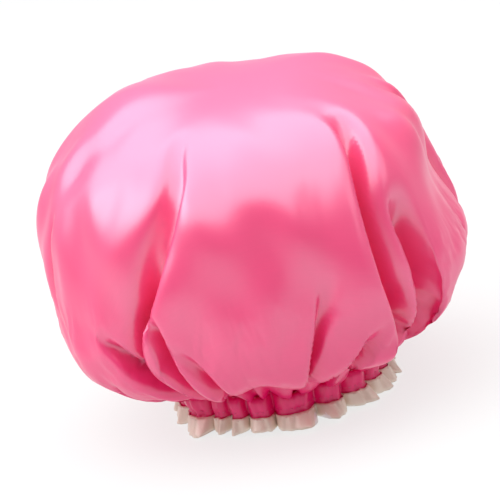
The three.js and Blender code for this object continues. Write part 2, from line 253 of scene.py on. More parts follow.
def eased_line(points, at, span):
    """Height at each place of a line through points, with its corners rounded over span."""
    xs, ys = (np.array(v, float) for v in zip(*points))
    steps = np.linspace(-span, span, 9)
    weights = np.hanning(11)[1:-1]
    return sum(w * np.interp(at + s, xs, ys) for s, w in zip(steps, weights)) / weights.sum()


class CapSizes(bpy.types.PropertyGroup):
    """Sizes of the cap."""

    width: FloatProperty(name="Width", description="Crown from side to side", default=0.22, unit="LENGTH")
    depth: FloatProperty(name="Depth", description="Crown from front to back", default=0.208, unit="LENGTH")
    crown_height: FloatProperty(
        name="Crown height", default=0.147, unit="LENGTH", description="From the gathering line to the top")
    widest_height: FloatProperty(
        name="Widest height", default=0.062, unit="LENGTH",
        description="From the gathering line to the widest part")
    shoulder: FloatProperty(
        name="Shoulder", default=0.75, subtype="FACTOR", description="Fullness of the crown's shoulder")
    belly: FloatProperty(
        name="Belly", default=0.68, subtype="FACTOR", description="Fullness of the puff above the frill")
    tunnel_radius: FloatProperty(
        name="Tunnel radius", default=0.0498, unit="LENGTH",
        description="Outside of the satin over the elastic")
    tunnel_width: FloatProperty(
        name="Tunnel width", default=0.012, unit="LENGTH",
        description="Between the two rows of tunnel stitching")
    binding_width: FloatProperty(
        name="Binding width", default=0.011, unit="LENGTH", description="Width of the bound edge")
    strip_width: FloatProperty(
        name="Strip width", default=0.0085, unit="LENGTH",
        description="How far the strip reaches up the frill")
    pucker: FloatProperty(
        name="Pucker depth", default=0.0055, unit="LENGTH",
        description="Depth of the gathers over the elastic")
    frill: FloatProperty(
        name="Frill depth", default=0.0125, unit="LENGTH", description="Depth of the waves at the hem")
    pillow: FloatProperty(
        name="Pillow height", default=0.0018, unit="LENGTH",
        description="How far the satin swells over the elastic")
    dip: FloatProperty(
        name="Frill dip", default=0.003, unit="LENGTH",
        description="How far the hem's waves dip inside the tunnel")
    satin: FloatProperty(
        name="Satin thickness", default=0.0003, unit="LENGTH", description="Thickness of the outer cloth")
    film: FloatProperty(
        name="Film thickness", default=0.0002, unit="LENGTH", description="Thickness of the lining")
    elastic: FloatProperty(
        name="Elastic thickness", default=0.0008, unit="LENGTH",
        description="Thickness of the knitted band")
    columns: IntProperty(name="Columns", default=400, description="Patches round the cap")
    rows: IntProperty(name="Rows", default=84, description="Patches from top to elastic")


class CapColours(bpy.types.PropertyGroup):
    """Colours of the cap."""

    satin: FloatVectorProperty(
        name="Satin", description="Outer cloth", subtype="COLOR", size=4, default=linear("#F84E82"))
    binding: FloatVectorProperty(
        name="Binding", description="Bound edge", subtype="COLOR", size=4, default=linear("#E6D6C4"))
    film: FloatVectorProperty(
        name="Film", description="Waterproof lining", subtype="COLOR", size=4, default=linear("#F2EDEB"))
    elastic: FloatVectorProperty(
        name="Elastic", description="Knitted band", subtype="COLOR", size=4, default=linear("#F4F2EE"))
    pink_thread: FloatVectorProperty(
        name="Pink thread", description="Tunnel stitching",
        subtype="COLOR", size=4, default=linear("#E0507F"))
    champagne_thread: FloatVectorProperty(
        name="Champagne thread", size=4, subtype="COLOR",
        description="Binding stitching", default=linear("#E6D3C6"))
    white_thread: FloatVectorProperty(
        name="White thread", description="Elastic join", subtype="COLOR", size=4, default=linear("#FFFFFF"))


class Section:
    """The satin's outer face from the top to the cut edge, by the distance along the cloth."""

    STEPS = 2000
    ROUNDING = 41  # steps over which the way out of the cloth turns at a corner

    def __init__(self, sizes):
        s = sizes
        self.sizes = s
        gather = s.binding_width + s.tunnel_width
        top = gather + s.crown_height
        wide = gather + s.widest_height
        half = s.width / 2
        rim = s.tunnel_radius
        upper = bezier((0, top), (half * s.shoulder, top),
                       (half, wide + (top - wide) * s.shoulder), (half, wide))
        lower = bezier((half, wide), (half, wide + (gather - wide) * s.belly),
                       (rim + (half - rim) * s.belly, gather), (rim, gather))
        frill = [(rim, s.binding_width), (rim, CUT_EDGE_HEIGHT)]
        way = np.array([*upper, *lower[1:], *frill])
        along = np.concatenate([[0], np.cumsum(np.linalg.norm(np.diff(way, axis=0), axis=1))])
        self.length = along[len(upper) + len(lower) - 2]
        fine = np.linspace(0, along[-1], self.STEPS)
        self.share = fine / self.length
        self.radius = np.interp(fine, along, way[:, 0])
        self.height = np.interp(fine, along, way[:, 1])
        out = np.stack([-np.gradient(self.height), np.gradient(self.radius)], axis=1)
        window = np.hanning(self.ROUNDING) / np.hanning(self.ROUNDING).sum()
        beyond = self.ROUNDING // 2
        padded = np.pad(out, ((beyond, beyond), (0, 0)), mode="edge")
        out = np.stack([np.convolve(padded[:, i], window, "valid") for i in (0, 1)], axis=1)
        self.out = out / np.linalg.norm(out, axis=1)[:, None]

        # Shares at the tunnel's lower edge, at the hem and at the cut edge
        self.below = 1 + s.tunnel_width / self.length
        self.hem = 1 + gather / self.length
        self.end = self.share[-1]

    def at(self, down):
        """Radius, height and the way out of the cloth at shares of the way to the gathering line."""
        return [np.interp(down, self.share, v)
                for v in (self.radius, self.height, self.out[:, 0], self.out[:, 1])]

    def place(self, down, angle, out):
        """Points of the cloth at an angle from the front, a distance out of the section."""
        s = self.sizes
        radius, height, radial, upward = self.at(down)
        radius = radius + radial * out
        height = height + upward * out
        hem = np.clip((down - 1) * self.length - s.tunnel_width, 0, s.binding_width) / s.binding_width
        height += TAB_LIFT * hem * (gathers(angle, SOFT_CREST)[2] - TAB_LOWEST)
        back = -radius * np.cos(angle) * self.squash(radius)
        return np.stack([radius * np.sin(angle), back, height], axis=1)

    def squash(self, radius):
        """How much shallower from front to back the cap is than it is wide. The opening stays round."""
        s = self.sizes
        flat = np.clip((radius - s.tunnel_radius) / (s.width / 2 - s.tunnel_radius), 0, 1)
        return 1 - flat * (1 - s.depth / s.width)

    def frilled(self, down):
        """Share of the way from the tunnel's lower edge to the hem."""
        return np.clip((down - self.below) / (self.hem - self.below), 0, 1)


def bezier(*corners):
    """Points along a curve with four corners."""
    t = np.linspace(0, 1, 200)[:, None]
    a, b, c, d = (np.array(p) for p in corners)
    return (1 - t) ** 3 * a + 3 * t * (1 - t) ** 2 * b + 3 * t * t * (1 - t) * c + t ** 3 * d


def away(angle, middle):
    """Signed angle from the middle, the short way round."""
    return (angle - middle + math.pi) % TURN - math.pi


def gathers(angle, sharp):
    """Height of the gathers, 0 in a dip and about 1 on a crest, how each leans to one side, how far its
    lower edge is lifted and how far it laps over its neighbour, in radians."""
    edges = np.radians(sorted(DIPS))
    edges = np.append(edges, edges[0] + TURN)
    turned = (angle - edges[0]) % TURN + edges[0]
    index = np.clip(np.searchsorted(edges, turned, side="right") - 1, 0, len(DIPS) - 1)
    wide = np.diff(edges)[index]
    across = 2 * (turned - edges[index]) / wide - 1
    strength = np.clip(np.sqrt(wide / (TURN / len(DIPS))), *GATHER_STRENGTH)
    crest = strength * (1 - np.abs(across) ** sharp)
    rng = np.random.default_rng(GATHER_SEED)
    lean, lift, slope = (rng.uniform(-UNEVEN, UNEVEN, len(DIPS))[index] for _ in range(3))
    flat = 1 - across ** 4

    # All dips are lifted alike, crests each by their own measure, more on one side
    lifted = 0.6 * (1 - flat) + 0.5 * flat * (1 + lift + slope * across)
    lapped = np.where(rng.uniform(-1, 1, len(DIPS)) < 0, -LAP, LAP)[index] * wide * flat
    return crest, lean * across * flat, lifted, lapped


def rumple(angle, down, seed, count, rounds, waves):
    """Slight uneven swellings that close round the cap, between about -1 and 1."""
    rng = np.random.default_rng(seed)
    total = np.zeros_like(angle)
    for _ in range(count):
        total += np.sin(rng.integers(*rounds) * angle + rng.uniform(*waves) * down
                        + rng.uniform(0, TURN))
    return total / math.sqrt(count)


def folded(section, down, angle):
    """Angle and distance out at which the pleats, puffs and gathers leave each point of cloth."""
    sizes = section.sizes
    fullness = np.clip(section.at(down)[0] / (sizes.width / 2), 0, 1.1)
    fullness = np.maximum(fullness, ease(down, *PLEATS_STAND))
    free = 1 - ease(down, *PUFFS_FADE)
    out = np.zeros_like(angle)
    for middle, start, end, height, left, right in SWELLS:
        off = away(angle, math.radians(middle))
        side = np.radians(np.where(off < 0, left, right))
        ramp = min(SWELL_RUN_IN, (end - start) / 2)
        level = ease(down, start, start + ramp) * (1 - ease(down, end - ramp, end)) * free
        out += height * MM * level * np.exp(-(off / side) ** 2)
    for deep, setting_in, waves in RUMPLES:
        out += deep * MM * rumple(angle, down, *waves) * ease(down, *setting_in) * free
    turned = angle.copy()
    for _, way, levels, half, deep, mouth, upper in PLEATS:
        half = math.radians(half)
        side = 1 if upper == "left" else -1
        level = eased_line(levels, down, LEVEL_ROUNDING)
        middle = np.radians(eased_line(way, down, EDGE_ROUNDING)) - side * PLEAT_SHIFT * half * level
        far = [(cloth, min(across + mouth * (1 - across * across), 1), depth)
               for cloth, across, depth in PLEAT_FAR]
        cloth, across, depth = zip(*PLEAT_NEAR, *far, (1, 1, 0))
        q = side * away(turned, middle) / half
        level = level * (np.abs(q) < 1)
        out -= level * deep * MM * fullness * eased_line(list(zip(cloth, depth)), q, EDGE_ROUNDING)
        turned += side * level * half * (eased_line(list(zip(cloth, across)), q, EDGE_ROUNDING) - q)
    return turned + lapping(section, down, angle), out + gathering(section, down, angle)


def lapping(section, down, angle):
    """Angle by which the tabs of the frill lap over each other."""
    return gathers(angle, SOFT_CREST)[3] * ease(down, 1.0, section.hem)


def gathering(section, down, angle):
    """How far the gathers over the elastic and the waves of the frill stand out."""
    sizes = section.sizes
    frilled = section.frilled(down)
    crest, lean, _, _ = gathers(angle, SOFT_CREST + (HEM_CREST - SOFT_CREST) * frilled)
    pucker = sizes.pucker * ease(down, *GATHERS_RISE) + (sizes.frill - sizes.pucker) * frilled
    out = pucker * (crest + lean * frilled - 0.5 * (1 - ease(down, *GATHERS_PART))) - sizes.dip * frilled
    deep, setting_in, waves = TUNNEL_RUMPLE
    out += deep * MM * rumple(angle, down, *waves) * ease(down, *setting_in) * (1 - frilled)

    # The satin swells over the elastic, most on the crests
    pillow = np.clip((down - 1) / (section.below - 1), 0, 1)
    return out + sizes.pillow * np.sin(math.pi * pillow) * (0.35 + 0.65 * crest)


def put_in_order(bm):
    """Sorts edges and faces by their points. Spinning leaves them in an order that changes from run to
    run, and the cloth would settle a little differently with each."""
    bm.verts.index_update()
    count = len(bm.verts)

    def rank(item):
        marks = [v.index for v in item.verts]
        return (min(marks) * count + max(marks)) * 4 * count + sum(marks)

    bm.edges.sort(key=rank)
    bm.faces.sort(key=rank)


def as_piece(name, bm):
    """Makes a smooth-shaded object of what was built."""
    put_in_order(bm)
    mesh = bpy.data.meshes.new(name)
    bm.to_mesh(mesh)
    bm.free()
    mesh.shade_smooth()
    piece = bpy.data.objects.new(name, mesh)
    bpy.context.collection.objects.link(piece)
    return piece


def spread(angle):
    """More columns in front, fewer behind."""
    return angle - FRONT_CROWDING * np.sin(angle)


def row_shares(section, crown, tunnel, frill):
    """Shares of the way down at which a sheet has its rows, with so many in crown, tunnel and frill."""
    return np.concatenate([np.linspace(0, 1, crown), np.linspace(1, section.below, tunnel)[1:],
                           np.linspace(section.below, section.end, frill)[1:]])


def spun(name, section, downs, lifts, columns):
    """Spins a line that lies off the section into a sheet and returns its object."""
    bm = bmesh.new()
    down_layer = bm.verts.layers.float.new("down")
    lift_layer = bm.verts.layers.float.new("lift")
    radius, height, radial, upward = section.at(downs)
    chain = []
    for mark, lift, r, z in zip(downs, lifts, radius + radial * lifts, height + upward * lifts):
        vert = bm.verts.new((0, -r, z))
        vert[down_layer] = mark
        vert[lift_layer] = lift
        chain.append(vert)
    edges = [bm.edges.new(pair) for pair in zip(chain, chain[1:])]
    bmesh.ops.spin(bm, geom=chain + edges, axis=(0, 0, 1), angle=TURN, steps=columns, use_merge=True)
    bmesh.ops.remove_doubles(bm, verts=bm.verts, dist=MERGE_DISTANCE)
    bmesh.ops.recalc_face_normals(bm, faces=bm.faces)
    return as_piece(name, bm)


def marks_of(mesh, name):
    """What each point carries of its place in the cloth."""
    values = np.zeros(len(mesh.vertices), np.float32)
    mesh.attributes[name].data.foreach_get("value", values)
    return values.astype(float)


def angles_of(mesh):
    """Angle from the front of each point of the unfolded sheet."""
    co = points_of(mesh)
    return spread(np.arctan2(co[:, 0], -co[:, 1]))


def lay_flat(mesh, section, down, angle):
    """Gives each point its place on the flat cloth, in metres, as the mesh's own UV."""
    along = down * section.length
    places = np.stack([along * np.sin(angle), -along * np.cos(angle)], axis=1)
    corners = np.zeros(len(mesh.loops), np.int32)
    mesh.loops.foreach_get("vertex_index", corners)
    flat_cloth = mesh.uv_layers.new(name="flat_cloth")
    flat_cloth.uv.foreach_set("vector", places[corners].astype(np.float32).ravel())


def thicken(piece, thickness, offset):
    """Gives a sheet its thickness, inwards where offset is -1 and outwards where it is 1."""
    solid = piece.modifiers.new("cloth_thickness", "SOLIDIFY")
    solid.thickness = thickness
    solid.offset = offset


def points_of(mesh):
    """Places of the mesh's points, one in a row."""
    co = np.zeros(3 * len(mesh.vertices), np.float32)
    mesh.vertices.foreach_get("co", co)
    return co.reshape(-1, 3).astype(float)


def move_points(mesh, points):
    """Puts the mesh's points at these places."""
    mesh.vertices.foreach_set("co", points.astype(np.float32).ravel())
    mesh.update()


def finish_piece(piece, look, solid):
    """Gives a piece its material and puts it in the place of its solid."""
    piece.data.materials.append(look)
    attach(piece, "root")
    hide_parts(solid)


def node(tree, kind, settings=None, **links):
    """Adds a shader node, sets its values and links its inputs."""
    made = tree.nodes.new("ShaderNode" + kind)
    for key, value in (settings or {}).items():
        if hasattr(made, key):
            setattr(made, key, value)
        else:
            made.inputs[key].default_value = value
    for key, source in links.items():
        tree.links.new(source, made.inputs[key.replace("_", " ")])
    return made


def material(name):
    """A new material with its nodes and its shader."""
    made = bpy.data.materials.new(name)
    made.use_nodes = True
    return made, made.node_tree, made.node_tree.nodes["Principled BSDF"]


def per_metre(size):
    """Scale of a pattern whose features are this many millimetres across."""
    return 1000 / size


def satin(name, colour, tint, has_painted_shade):
    """Woven polyester satin. Long floats of bright yarn give broad soft highlights and deep colour in
    the folds. Slubs and the run of the yarn break the shine a little. Real yarns are about 0.1 mm wide,
    too fine to show, so the pattern is drawn ten times coarser. Where the mesh marks painted shade, the
    colour is painted darker and more saturated and the shine weaker, for fine folds that are not modelled
    and for the shadow of the puffs over the elastic."""
    made, tree, shader = material(name)
    roughness = 0.32 if has_painted_shade else 0.37
    uneven = 0.025
    sheen = 0.85
    flat = node(tree, "UVMap", {"uv_map": "flat_cloth"}).outputs["UV"]
    yarn = node(tree, "Mapping", {"Scale": (per_metre(16.667), per_metre(1), 1)}, Vector=flat)
    slubs = node(tree, "TexNoise", {"Scale": 1, "Detail": 2}, Vector=yarn.outputs["Vector"])
    clouds = node(tree, "TexNoise", {"Scale": per_metre(22.222), "Detail": 3}, Vector=flat)
    shade = node(tree, "MapRange", {"To Min": 0.97, "To Max": 1.03}, Value=slubs.outputs["Fac"])
    dyed = node(tree, "HueSaturation", {"Color": colour}, Value=shade.outputs["Result"])
    gloss = node(tree, "MapRange", {"To Min": roughness - uneven, "To Max": roughness + uneven},
                 Value=clouds.outputs["Fac"])
    grain = node(tree, "Bump", {"Strength": 0.05, "Distance": 0.2 * MM}, Height=slubs.outputs["Fac"])
    tree.links.new(dyed.outputs["Color"], shader.inputs["Base Color"])
    tree.links.new(gloss.outputs["Result"], shader.inputs["Roughness"])
    tree.links.new(grain.outputs["Normal"], shader.inputs["Normal"])
    shader.inputs["IOR"].default_value = 1.9
    shader.inputs["Specular IOR Level"].default_value = sheen
    shader.inputs["Specular Tint"].default_value = tint
    if has_painted_shade:
        # Painted shade: darker, more saturated colour and weaker shine where the mesh marks it
        painted_shade_amount = node(tree, "Attribute", {"attribute_name": "painted_shade_amount"}).outputs["Fac"]
        deeper = node(tree, "MapRange", {"To Min": 1, "To Max": 1.12}, Value=painted_shade_amount)
        darker = node(tree, "MapRange", {"To Min": 1, "To Max": 0.85}, Value=painted_shade_amount)
        duller = node(tree, "MapRange", {"To Min": sheen, "To Max": 0.3}, Value=painted_shade_amount)
        value = node(tree, "Math", {"operation": "MULTIPLY"})
        tree.links.new(shade.outputs["Result"], value.inputs[0])
        tree.links.new(darker.outputs["Result"], value.inputs[1])
        tree.links.new(value.outputs["Value"], dyed.inputs["Value"])
        tree.links.new(deeper.outputs["Result"], dyed.inputs["Saturation"])
        tree.links.new(duller.outputs["Result"], shader.inputs["Specular IOR Level"])
    return made


def film(name, colour):
    """Cast film with a fine embossed grain, which gives it a milky look with a soft, broken shine."""
    made, tree, shader = material(name)
    place = node(tree, "TexCoord").outputs["Object"]
    emboss = node(tree, "TexNoise", {"Scale": per_metre(1.1111), "Detail": 2}, Vector=place)
    clouds = node(tree, "TexNoise", {"Scale": per_metre(25), "Detail": 2}, Vector=place)
    shade = node(tree, "MapRange", {"To Min": 0.94, "To Max": 1.04}, Value=clouds.outputs["Fac"])
    milky = node(tree, "HueSaturation", {"Color": colour}, Value=shade.outputs["Result"])
    grain = node(tree, "Bump", {"Strength": 0.25, "Distance": 0.3 * MM}, Height=emboss.outputs["Fac"])
    tree.links.new(milky.outputs["Color"], shader.inputs["Base Color"])
    tree.links.new(grain.outputs["Normal"], shader.inputs["Normal"])
    shader.inputs["Roughness"].default_value = 0.38
    return made


def knit(name, colour):
    """Warp knit over rubber threads. It shows as matt ribs along the band, about 1 mm apart."""
    made, tree, shader = material(name)
    rib = 1 * MM
    scale = TURN / 20 / rib  # at scale 1, waves are 2 pi / 20 apart
    place = node(tree, "TexCoord").outputs["Object"]
    ribs = node(tree, "TexWave", {"bands_direction": "Z", "Scale": scale, "Distortion": 1.5}, Vector=place)
    fluff = node(tree, "TexNoise", {"Scale": per_metre(0.6667)}, Vector=place)
    # Painted shade: the colour is painted darker in the grooves between the ribs
    shade = node(tree, "MapRange", {"To Min": 0.85, "To Max": 1.05}, Value=ribs.outputs["Fac"])
    dyed = node(tree, "HueSaturation", {"Color": colour}, Value=shade.outputs["Result"])
    relief = node(tree, "Bump", {"Strength": 0.6, "Distance": 0.4 * MM}, Height=ribs.outputs["Fac"])
    soft = node(tree, "MapRange", {"To Min": 0.75, "To Max": 0.95}, Value=fluff.outputs["Fac"])
    tree.links.new(dyed.outputs["Color"], shader.inputs["Base Color"])
    tree.links.new(relief.outputs["Normal"], shader.inputs["Normal"])
    tree.links.new(soft.outputs["Result"], shader.inputs["Roughness"])
    return made


def thread(name, colour):
    """Spun polyester thread. Short fibres make it half matt and slightly uneven in shade."""
    made, tree, shader = material(name)
    place = node(tree, "TexCoord").outputs["Object"]
    fibres = node(tree, "TexNoise", {"Scale": per_metre(0.4), "Detail": 2}, Vector=place)
    shade = node(tree, "MapRange", {"To Min": 0.85, "To Max": 1.1}, Value=fibres.outputs["Fac"])
    dyed = node(tree, "HueSaturation", {"Color": colour}, Value=shade.outputs["Result"])
    tree.links.new(dyed.outputs["Color"], shader.inputs["Base Color"])
    shader.inputs["Roughness"].default_value = 0.62
    return made


def settle(piece, held, fuller):
    """Lets the cloth settle with its lower part cut fuller, and keeps the shape that it takes."""
    scene = bpy.context.scene
    groups = []
    for name, weights in (("held", held), ("steady", 1 - fuller)):
        group = piece.vertex_groups.new(name=name)
        groups.append(group)
        for index, weight in enumerate(weights):
            group.add([index], float(weight), "REPLACE")
    cloth = piece.modifiers.new("settling", "CLOTH")
    for key, value in CLOTH.items():
        setattr(cloth.settings, key, value)
    cloth.settings.vertex_group_mass = "held"
    cloth.settings.vertex_group_shrink = "steady"
    cloth.settings.effector_weights.gravity = 0
    cloth.collision_settings.use_collision = False
    cloth.point_cache.frame_start = 1
    cloth.point_cache.frame_end = SETTLING_STEPS
    for step in range(1, SETTLING_STEPS + 1):
        scene.frame_set(step)
    settled = piece.evaluated_get(bpy.context.evaluated_depsgraph_get()).to_mesh()
    points = points_of(settled)
    piece.modifiers.remove(cloth)
    for group in groups:
        piece.vertex_groups.remove(group)
    scene.frame_set(1)
    move_points(piece.data, points)


def room(section, shell):
    """Grid over shares and angles of how far from the section the satin's folds reach in."""
    points = points_of(shell)
    marks = marks_of(shell, "down")
    radius, height, radial, upward = section.at(marks)
    squash = section.squash(radius)
    turned = np.arctan2(points[:, 0], -points[:, 1] / squash)
    reach = np.hypot(points[:, 0], points[:, 1] / squash)
    off = (reach - radius) * radial + (points[:, 2] - height) * upward
    rows, turns = FILM_GRID
    grid = np.zeros(FILM_GRID)
    row = np.clip((marks / section.end * rows).astype(int), 0, rows - 1)
    column = ((turned / TURN) % 1 * turns).astype(int) % turns
    np.minimum.at(grid, (row, column), off)

    # The deepest of each place's neighbours, smoothed round the cap
    for _ in range(3):
        grid = np.minimum(grid, np.minimum(np.roll(grid, 1, 1), np.roll(grid, -1, 1)))
    grid[1:-1] = np.minimum(grid[1:-1], np.minimum(grid[:-2], grid[2:]))
    for _ in range(6):
        grid = (np.roll(grid, 1, 1) + 2 * grid + np.roll(grid, -1, 1)) / 4
    return grid


def looked_up(grid, section, down, angle):
    """Values of the grid between its places."""
    rows, turns = grid.shape
    place = np.clip(down / section.end * rows - 0.5, 0, rows - 1.001)  # stops short of the last row
    low = place.astype(int)
    share = place - low
    turn = (angle / TURN) % 1 * turns - 0.5
    left = np.floor(turn).astype(int) % turns
    right = (left + 1) % turns
    mix = turn - np.floor(turn)
    level = [(1 - mix) * grid[r, left] + mix * grid[r, right] for r in (low, low + 1)]
    return (1 - share) * level[0] + share * level[1]


def inside(section, shell, down, angle):
    """How far from the section the film hangs, to clear the satin and its folds everywhere."""
    hung = looked_up(room(section, shell), section, down, angle) - section.sizes.satin - FILM_CLEARANCE
    rise, fade = FILM_LOOSE
    deep, waves = FILM_RIPPLE
    ripple = np.clip(1 + rumple(angle, down, *waves), 0, 2)
    hung -= deep * MM * ease(down, *rise) * (1 - ease(down, *fade)) * ripple

    # Over the elastic it follows the gathers a little, and at the hem it is bound in with the satin
    tunnel = FILM_FOLLOWS * gathers(angle, SOFT_CREST)[0] - FILM_IN_TUNNEL
    hung += (np.minimum(hung, tunnel) - hung) * ease(down, *FILM_DRAWN_IN)
    hung = np.where(down > 1, tunnel, hung)
    bound = ease(down, section.below, section.below + FILM_BOUND_RUN)
    return hung + (folded(section, down, angle)[1] - FILM_BOUND - hung) * bound


def stitch(bm, start, end, radius):
    """One stitch: a small ball drawn out from where the thread comes up to where it goes down."""
    run = end - start
    turn = run.to_track_quat("X", "Z").to_matrix().to_4x4()
    size = Matrix.Diagonal((run.length / 2, radius, radius, 1))
    bmesh.ops.create_uvsphere(bm, u_segments=6, v_segments=4, radius=1,
                              matrix=Matrix.Translation((start + end) / 2) @ turn @ size)


def stitches(name, section, down, lift):
    """A row of short stitches, laid along the waves of the cloth."""
    fine = np.linspace(0, TURN, ROW_STEPS)
    row = np.full_like(fine, down)
    turned, out = folded(section, row, fine)
    way = section.place(row, turned, out + lift)
    along = np.concatenate([[0], np.cumsum(np.linalg.norm(np.diff(way, axis=0), axis=1))])
    count = int(along[-1] / STITCH_PITCH)
    bm = bmesh.new()
    for i in range(count):
        at = [(i + share) / count * along[-1] for share in STITCH_ENDS]
        start, end = (Vector([np.interp(a, along, way[:, k]) for k in range(3)]) for a in at)
        stitch(bm, start, end, THREAD_RADIUS)
    return as_piece(name, bm)


class CAP_OT_shell(bpy.types.Operator):
    """Make the satin crown with its gathered edge"""

    bl_idname = "cap.shell"
    bl_label = "Satin crown"

    def execute(self, context):
        scene = context.scene
        sizes = scene.cap_sizes
        section = Section(sizes)
        downs = row_shares(section, sizes.rows, TUNNEL_ROWS, FRILL_ROWS)
        piece = spun("satin_crown", section, downs, np.zeros_like(downs), sizes.columns)
        mesh = piece.data
        down = marks_of(mesh, "down")
        angle = angles_of(mesh)
        lay_flat(mesh, section, down, angle)
        # Painted shade: how much each point of the lower crown and of the cloth over the elastic is painted
        # darker
        painted_shade_amount = PAINTED_SHADE_LOWER_SHARE * ease(down, *PAINTED_SHADE_LOWER) + (1 - PAINTED_SHADE_LOWER_SHARE) * ease(down, *PAINTED_SHADE_TUNNEL)
        marks = mesh.attributes.new("painted_shade_amount", "FLOAT", "POINT")
        marks.data.foreach_set("value", painted_shade_amount.astype(np.float32))
        turned, out = folded(section, down, angle)
        move_points(mesh, section.place(down, turned, out))
        held = np.maximum(1 - LOOSEST * ease(down, *LET_GO), ease(down, *HELD_AGAIN))
        settle(piece, held, ease(down, *FULLER_FROM) * (1 - ease(down, *FULLER_TO)))
        thicken(piece, sizes.satin, -1)
        look = satin("polyester_satin_pink", scene.cap_colours.satin, (0.96, 0.87, 1, 1), True)
        finish_piece(piece, look, "outer_shell")
        return {"FINISHED"}


class CAP_OT_lining(bpy.types.Operator):
    """Make the waterproof film that hangs inside the satin"""

    bl_idname = "cap.lining"
    bl_label = "Film lining"

    def execute(self, context):
        scene = context.scene
        sizes = scene.cap_sizes
        section = Section(sizes)
        downs = row_shares(section, *FILM_ROWS)
        piece = spun("film_lining", section, downs, np.zeros_like(downs), FILM_COLUMNS)
        mesh = piece.data
        down = marks_of(mesh, "down")
        angle = angles_of(mesh)
        out = inside(section, bpy.data.objects["satin_crown"].data, down, angle)
        move_points(mesh, section.place(down, angle, out))
        thicken(piece, sizes.film, -1)
        look = film("cast_film_milky", scene.cap_colours.film)
        finish_piece(piece, look, "lining")
        return {"FINISHED"}


class CAP_OT_elastic(bpy.types.Operator):
    """Make the knitted band in the tunnel"""

    bl_idname = "cap.elastic"
    bl_label = "Elastic band"

    def execute(self, context):
        scene = context.scene
        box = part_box("elastic_band")
        low, high = box[0][2], box[1][2]
        outer = (box[1][0] - box[0][0]) / 2
        inner = outer - scene.cap_sizes.elastic
        bm = bmesh.new()
        corners = [bm.verts.new((0, -r, z))
                   for r, z in ((inner, low), (outer, low), (outer, high), (inner, high))]
        edges = [bm.edges.new((corners[i], corners[(i + 1) % 4])) for i in range(4)]
        bmesh.ops.spin(bm, geom=corners + edges, axis=(0, 0, 1), angle=TURN, steps=ELASTIC_COLUMNS,
                       use_merge=True)
        bmesh.ops.recalc_face_normals(bm, faces=bm.faces)
        piece = as_piece("elastic_band_knitted", bm)
        look = knit("warp_knit_elastic", scene.cap_colours.elastic)
        finish_piece(piece, look, "elastic_band")
        return {"FINISHED"}


class CAP_OT_binding(bpy.types.Operator):
    """Make the champagne strip folded over the edge"""

    bl_idname = "cap.binding"
    bl_label = "Edge binding"

    def execute(self, context):
        scene = context.scene
        sizes = scene.cap_sizes
        section = Section(sizes)
        end = section.end
        top = end - sizes.strip_width / section.length
        turn = np.linspace(0, math.pi, 7)[1:-1]
        downs = np.concatenate([np.linspace(top, end, STRIP_ROWS),
                                end + STRIP_FOLD * np.sin(turn) / section.length,
                                np.linspace(end, top, STRIP_ROWS)])
        lifts = np.concatenate([np.full(STRIP_ROWS, STRIP_MIDDLE + STRIP_FOLD),
                                STRIP_MIDDLE + STRIP_FOLD * np.cos(turn),
                                np.full(STRIP_ROWS, STRIP_MIDDLE - STRIP_FOLD)])
        piece = spun("edge_strip", section, downs, lifts, sizes.columns)
        mesh = piece.data
        down = marks_of(mesh, "down")
        angle = angles_of(mesh)
        lay_flat(mesh, section, down, angle)
        turned, out = folded(section, down, angle)
        deep, waves = STRIP_RUMPLE
        out += marks_of(mesh, "lift") + deep * MM * rumple(angle, down, *waves)
        move_points(mesh, section.place(down, turned, out))
        thicken(piece, sizes.satin, 1)
        look = satin("polyester_satin_champagne", scene.cap_colours.binding, (1, 0.96, 0.92, 1), False)
        finish_piece(piece, look, "edge_binding")
        return {"FINISHED"}


class CAP_OT_stitching(bpy.types.Operator):
    """Make the rows of stitches along the tunnel and the binding"""

    bl_idname = "cap.stitching"
    bl_label = "Rows of stitches"

    def execute(self, context):
        scene = context.scene
        sizes = scene.cap_sizes
        section = Section(sizes)
        inset = ROW_INSET / section.length
        bound = section.end - (sizes.strip_width - BINDING_ROW_INSET) / section.length
        pink = thread("spun_polyester_pink", scene.cap_colours.pink_thread)
        beige = thread("spun_polyester_champagne", scene.cap_colours.champagne_thread)
        for place, solid, slot, down, lift, look in (
                ("tunnel_upper", "tunnel_stitching_upper", "pink_thread", 1 + inset, 0, pink),
                ("tunnel_lower", "tunnel_stitching_lower", "pink_thread", section.below - inset, 0, pink),
                ("binding", "binding_stitching", "champagne_thread", bound, BINDING_ROW_LIFT, beige)):
            piece = stitches("stitches_" + place, section, down, lift)
            finish_piece(piece, look, solid)
        return {"FINISHED"}


class CAP_OT_join(bpy.types.Operator):
    """Make the zigzag that joins the ends of the elastic"""

    bl_idname = "cap.join"
    bl_label = "Elastic join"

    def execute(self, context):
        low, high = (Vector(c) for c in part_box("elastic_join_stitching"))
        corners = []
        for i in range(JOIN_STITCHES + 1):
            corner = (low + high) / 2
            corner.x = low.x + (high.x - low.x) * JOIN_SIDES[i % 2]
            corner.z = low.z + (high.z - low.z) * (i + 0.5) / (JOIN_STITCHES + 1)
            corners.append(corner)
        bm = bmesh.new()
        for start, end in zip(corners, corners[1:]):
            stitch(bm, start, end, JOIN_THREAD_RADIUS)
        piece = as_piece("stitches_elastic_join", bm)
        look = thread("spun_polyester_white", context.scene.cap_colours.white_thread)
        finish_piece(piece, look, "elastic_join_stitching")
        return {"FINISHED"}


